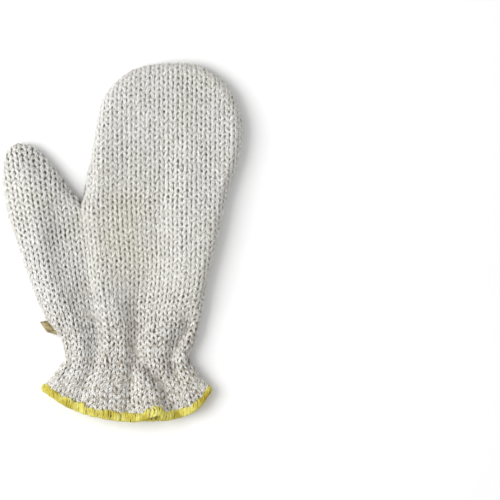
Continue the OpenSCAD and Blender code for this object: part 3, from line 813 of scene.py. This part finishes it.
# ---------------------------------------------------------------- materials
class Finish:
    """A node material and short ways of adding nodes to it. Values given are sockets or plain numbers."""

    def __init__(self, name):
        self.material = bpy.data.materials.new(name)
        self.material.use_nodes = True
        self.nodes, self.links = self.material.node_tree.nodes, self.material.node_tree.links
        self.shader = self.nodes["Principled BSDF"]

    def node(self, kind, **settings):
        made = self.nodes.new(kind)
        for key, value in settings.items():
            setattr(made, key, value)
        return made

    def give(self, value, socket):
        if isinstance(value, bpy.types.NodeSocket):
            self.links.new(value, socket)
        else:
            socket.default_value = value

    def feed(self, made, inputs):
        """Gives a node its inputs, by name or number, and returns its outputs."""
        for key, value in inputs.items():
            self.give(value, made.inputs[key])
        return made.outputs

    def set(self, name, value):
        """Gives one of the shader's own inputs its value."""
        self.give(value, self.shader.inputs[name])

    def space(self):
        return self.node("ShaderNodeTexCoord").outputs["Object"]

    def parts(self, vector):
        return self.feed(self.node("ShaderNodeSeparateXYZ"), {0: vector})

    def attribute(self, name, output="Vector"):
        return self.node("ShaderNodeAttribute", attribute_name=name).outputs[output]

    def along_thread(self, stretch):
        """Coordinates that run with the thread: length in millimetres, then round it."""
        mapping = self.node("ShaderNodeMapping")
        return self.feed(mapping, {"Scale": (stretch, 1, 1), "Vector": self.attribute("yarn")})["Vector"]

    def noise(self, vector, scale, detail=3.0, roughness=0.6):
        inputs = {"Vector": vector, "Scale": scale, "Detail": detail, "Roughness": roughness}
        return self.feed(self.node("ShaderNodeTexNoise"), inputs)["Fac"]

    def ribs(self, vector, scale, distortion=0.0):
        made = self.node("ShaderNodeTexWave", bands_direction="Y")
        return self.feed(made, {"Vector": vector, "Scale": scale, "Distortion": distortion})["Fac"]

    def ramp(self, value, stops):
        made = self.node("ShaderNodeValToRGB")
        elements = made.color_ramp.elements
        while len(elements) < len(stops):
            elements.new(0.5)
        for element, (position, colour) in zip(elements, stops):
            element.position = position
            element.color = (*colour, 1)
        return self.feed(made, {"Fac": value})["Color"]

    def rescale(self, value, low, high, to_low, to_high):
        inputs = {"Value": value, "From Min": low, "From Max": high, "To Min": to_low, "To Max": to_high}
        return self.feed(self.node("ShaderNodeMapRange"), inputs)["Result"]

    def span(self, noise, low, high):
        """Noise, which is mostly from 0.3 to 0.7, spread out from low to high."""
        return self.rescale(noise, 0.3, 0.7, low, high)

    def math(self, operation, *values, **settings):
        made = self.node("ShaderNodeMath", operation=operation, **settings)
        return self.feed(made, dict(enumerate(values)))[0]

    def mix(self, factor, first, second, **settings):
        """Mix node for colours, whose sockets for them are 6, 7 and output 2."""
        made = self.node("ShaderNodeMix", data_type="RGBA", **settings)
        return self.feed(made, {0: factor, 6: first, 7: second})[2]

    def fuzz(self, share):
        """The shading direction of hairy yarn: partly that of the cloth it lies in."""
        turned = self.node("ShaderNodeVectorTransform", vector_type="NORMAL",
                           convert_from="OBJECT", convert_to="WORLD")
        cloth = self.feed(turned, {"Vector": self.attribute("cloth")})["Vector"]
        own = self.node("ShaderNodeNewGeometry").outputs["Normal"]
        return self.feed(self.node("ShaderNodeMix", data_type="VECTOR"), {0: share, 4: own, 5: cloth})[1]

    def bump(self, value, strength, distance, normal=None):
        inputs = {"Height": value, "Strength": strength, "Distance": distance}
        if normal is not None:
            inputs["Normal"] = normal
        self.set("Normal", self.feed(self.node("ShaderNodeBump"), inputs)["Normal"])


# Places and sizes in materials are in metres, like the meshes.
WARM_SPOT = metres(-2, 5, 14)     # the palm's middle, round which the yarn is warmer and a little darker
WARM_REACH = (0.012, 0.048)
DULL_FROM, DULL_TO = -0.02, -0.085   # the yarn gets duller from the palm down to the wrist


def metal_yarn():
    """Kinked metal thread: random tone with painted highlights and painted shade between filaments, painted
    shade where the yarn lies deep, duller and browner at the wrist.
    """
    f = Finish("metal_yarn")
    grains = f.noise(f.along_thread(0.9), 0.9, 3.0, 0.7)
    fibres = f.noise(f.along_thread(0.35), 5.0, 4.0, 0.7)
    # random tone of the filaments; its palest specks are painted highlights, its darkest painted shade
    # between filaments
    tone_and_painted_glint = f.math("MULTIPLY_ADD", fibres, 0.4, grains)
    neutral = f.ramp(tone_and_painted_glint, [(0.50, (0.40, 0.385, 0.37)), (0.68, (0.78, 0.78, 0.765)),
                             (0.84, (0.97, 0.97, 0.96))])
    warm = f.ramp(tone_and_painted_glint, [(0.50, (0.375, 0.35, 0.295)), (0.68, (0.755, 0.735, 0.655)),
                          (0.84, (0.95, 0.94, 0.87))])
    space = f.space()
    distance = f.node("ShaderNodeVectorMath", operation="DISTANCE")
    from_spot = f.feed(distance, {0: space, 1: WARM_SPOT})["Value"]
    # a warmer, slightly darker ramp near the palm's middle, fading out from 12 to 48 mm away
    warm_near_spot = f.rescale(from_spot, *WARM_REACH, 0.75, 0.0)
    patches = f.span(f.noise(space, 22.0, 2.0), 0, 0.6)
    colour = f.mix(f.math("ADD", warm_near_spot, patches, use_clamp=True), neutral, warm)
    dull = f.rescale(f.parts(space)["Y"], DULL_FROM, DULL_TO, 0.35, 1.0)
    stains = f.ramp(f.noise(space, 260.0, 3.0), [(0.36, (0.60, 0.55, 0.49)), (0.56, (1.0, 0.99, 0.975))])
    colour = f.mix(dull, colour, stains, blend_type="MULTIPLY")
    # painted shade: the yarn is darker where it lies deep in the knit, at the loops' heads
    high = f.rescale(f.attribute("relief", "Fac"), -1, 0.6, 0.0, 1.0)
    painted_depth_shade = f.ramp(high, [(0.0, (0.66, 0.65, 0.63)), (1.0, (1.0, 1.0, 1.0))])
    f.set("Base Color", f.mix(1.0, colour, painted_depth_shade, blend_type="MULTIPLY"))
    f.set("Roughness", f.span(grains, 0.5, 0.25))
    glow = {"Subsurface Weight": 0.35, "Subsurface Radius": (1, 1, 1), "Subsurface Scale": 0.0015}
    f.feed(f.shader, {"Metallic": 0.1, **glow})
    f.bump(fibres, 0.6, 0.0003, normal=f.fuzz(0.4))
    return f.material


def plain_thread(name, dark, light):
    """Spun polyester thread."""
    f = Finish(name)
    fibres = f.noise(f.along_thread(1.0), 4.0, 4.0)
    f.set("Base Color", f.ramp(fibres, [(0.3, dark), (0.7, light)]))
    f.set("Roughness", f.span(fibres, 0.6, 0.8))
    f.bump(fibres, 0.4, 0.0001)
    return f.material


def hem_yarn():
    """Bulky yellow thread, olive between its fibres and paler in patches."""
    f = Finish("hem_yarn")
    fibres = f.noise(f.along_thread(1.0), 4.0, 4.0)
    tone = f.math("MULTIPLY_ADD", f.noise(f.space(), 90.0, 2.0), 0.8, fibres)
    f.set("Base Color", f.ramp(tone, [(0.72, (0.34, 0.26, 0.015)), (0.90, (0.59, 0.50, 0.045)),
                                      (1.08, (0.75, 0.71, 0.20))]))
    f.set("Roughness", f.span(fibres, 0.55, 0.75))
    f.bump(fibres, 0.5, 0.00012, normal=f.fuzz(0.3))
    return f.material


def satin_ribbon():
    """Brown ribbon: fine cords along it, painted shade along its edges and worn patches."""
    f = Finish("satin_ribbon")
    weave = f.attribute("weave")
    cords = f.ribs(weave, 0.35, 1.2)
    patches = f.noise(weave, 0.35, 3.0)
    from_middle = f.math("ABSOLUTE", f.parts(weave)["Y"])
    # painted shade along both edges of the ribbon, darkest at the edge
    painted_edge_shade = f.rescale(from_middle, TAB_WIDTH / 2 - 1.9, TAB_WIDTH / 2 - 0.5, 0.0, 0.14)
    tone = f.math("MULTIPLY_ADD", cords, 0.12, f.math("SUBTRACT", patches, painted_edge_shade))
    f.set("Base Color", f.ramp(tone, [(0.34, (0.10, 0.065, 0.022)), (0.50, (0.29, 0.215, 0.095)),
                                      (0.66, (0.44, 0.36, 0.18))]))
    f.set("Roughness", f.span(patches, 0.35, 0.5))
    f.bump(cords, 0.4, 0.00012)
    return f.material


def elastic_cover():
    """Braided band with ribs along it."""
    f = Finish("elastic_cover")
    ribs = f.ribs(f.space(), 300.0)
    f.set("Base Color", f.ramp(ribs, [(0.0, (0.46, 0.45, 0.42)), (1.0, (0.66, 0.65, 0.61))]))
    f.set("Roughness", 0.8)
    f.bump(ribs, 0.5, 0.0003)
    return f.material


def pale_floor():
    f = Finish("pale_floor")
    tone = f.noise(f.space(), 8.0, 2.0)
    f.set("Base Color", f.ramp(tone, [(0.3, (0.925, 0.925, 0.925)), (0.7, (0.935, 0.935, 0.935))]))
    f.set("Roughness", 0.9)
    return f.material


# ---------------------------------------------------------------- the mitt
SIDES = ((FRONT, "front"), (BACK, "back"))
# The knit's pieces in the order of knit_piece_of: the part of the mitt, and its name in the CAD nodes.
KNIT_PARTS = (("palm", "palm"), ("fingers", "finger"), ("thumb", "thumb"), ("cuff", "cuff"))


def fit(piece, part, slot, *nodes):
    """Attaches a palm piece to the palm's body, bakes any other piece's transform into its mesh, and hides
    the CAD nodes that it stands for. The slot is not used.
    """
    if part == "palm":
        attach(piece, "palm")
    else:
        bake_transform(piece)
    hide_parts(*nodes)


def build_knit():
    material = metal_yarn()
    for side, side_name in SIDES:
        for tubes, (part, stem) in zip(knit_panel(side), KNIT_PARTS):
            piece = tubes.make(f"knit_{side_name}_{part}", material)
            fit(piece, part, "metal_knit", f"{stem}_{side_name}_panel")


def build_seams():
    """The hidden closing seam, in pieces that meet at the fold lines."""
    thread = plain_thread("seam_yarn", (0.42, 0.41, 0.38), (0.62, 0.61, 0.57))
    for part, nodes, stretches in SEAMS:
        fit(seam_piece(part, stretches, thread), part, "seam_thread", *nodes)


def build_gathers():
    thread = plain_thread("gather_yarn", (0.62, 0.61, 0.58), (0.82, 0.81, 0.78))
    for side, side_name in SIDES:
        stitch = gather_stitch(side, f"gather_zigzag_{side_name}", thread)
        fit(stitch, "cuff", "gather_thread", f"{side_name}_gather_stitch")
    fit(make_elastic(elastic_cover()), "cuff", "elastic", "wrist_elastic")


def build_hem():
    thread = hem_yarn()
    for side, side_name in SIDES:
        hem = hem_thread(side, f"hem_thread_{side_name}", thread)
        fit(hem, "cuff", "hem_thread", f"{side_name}_hem_overlock")


def build_ribbon():
    ribbon = make_ribbon(satin_ribbon())
    fit(ribbon, "tab", "ribbon", "ribbon_tab")


# ---------------------------------------------------------------- floor, light and camera
FLOOR_HALF = 6.0                         # from here on in metres
WORLD_LIGHT = 0.635
KEY_PLACE, KEY_SIZE, KEY_WATTS = (-1.29, 0.05, 1.48), 1.5, 34.6
CAMERA_PLACE = (0.106, -0.0062, 2.4)
VIEW_WIDTH, VIEW_HEIGHT = 0.4155, 0.014  # what the picture shows from side to side, and how high up
SENSOR = 36.0


def build_floor():
    h = FLOOR_HALF
    mesh = bpy.data.meshes.new("floor")
    mesh.from_pydata([(-h, -h, 0), (h, -h, 0), (h, h, 0), (-h, h, 0)], [], [(0, 1, 2, 3)])
    mesh.materials.append(pale_floor())
    put_in_scene("floor", mesh)


def build_light():
    """White surroundings, and a large soft light high on the thumb's side."""
    world = bpy.data.worlds.new("studio")
    world.use_nodes = True
    background = world.node_tree.nodes["Background"].inputs
    background["Color"].default_value = (1, 1, 1, 1)
    background["Strength"].default_value = WORLD_LIGHT
    bpy.context.scene.world = world
    bpy.context.scene.view_settings.view_transform = "Standard"
    data = bpy.data.lights.new("key", "AREA")
    data.shape = "RECTANGLE"
    data.size = data.size_y = KEY_SIZE
    data.energy = KEY_WATTS
    light = put_in_scene("key", data)
    light.location = KEY_PLACE
    light.rotation_euler = (-Vector(KEY_PLACE)).to_track_quat("-Z", "Y").to_euler()


def build_camera():
    """Straight above, with the mitt in the left half of the picture."""
    data = bpy.data.cameras.new("camera")
    data.sensor_width = SENSOR
    data.lens = SENSOR * (CAMERA_PLACE[2] - VIEW_HEIGHT) / VIEW_WIDTH
    data.clip_start, data.clip_end = 0.05, 20.0
    camera = put_in_scene("camera", data)
    camera.location = CAMERA_PLACE
    bpy.context.scene.camera = camera


build_knit()
build_seams()
build_gathers()
build_hem()
build_ribbon()
build_floor()
build_light()
build_camera()
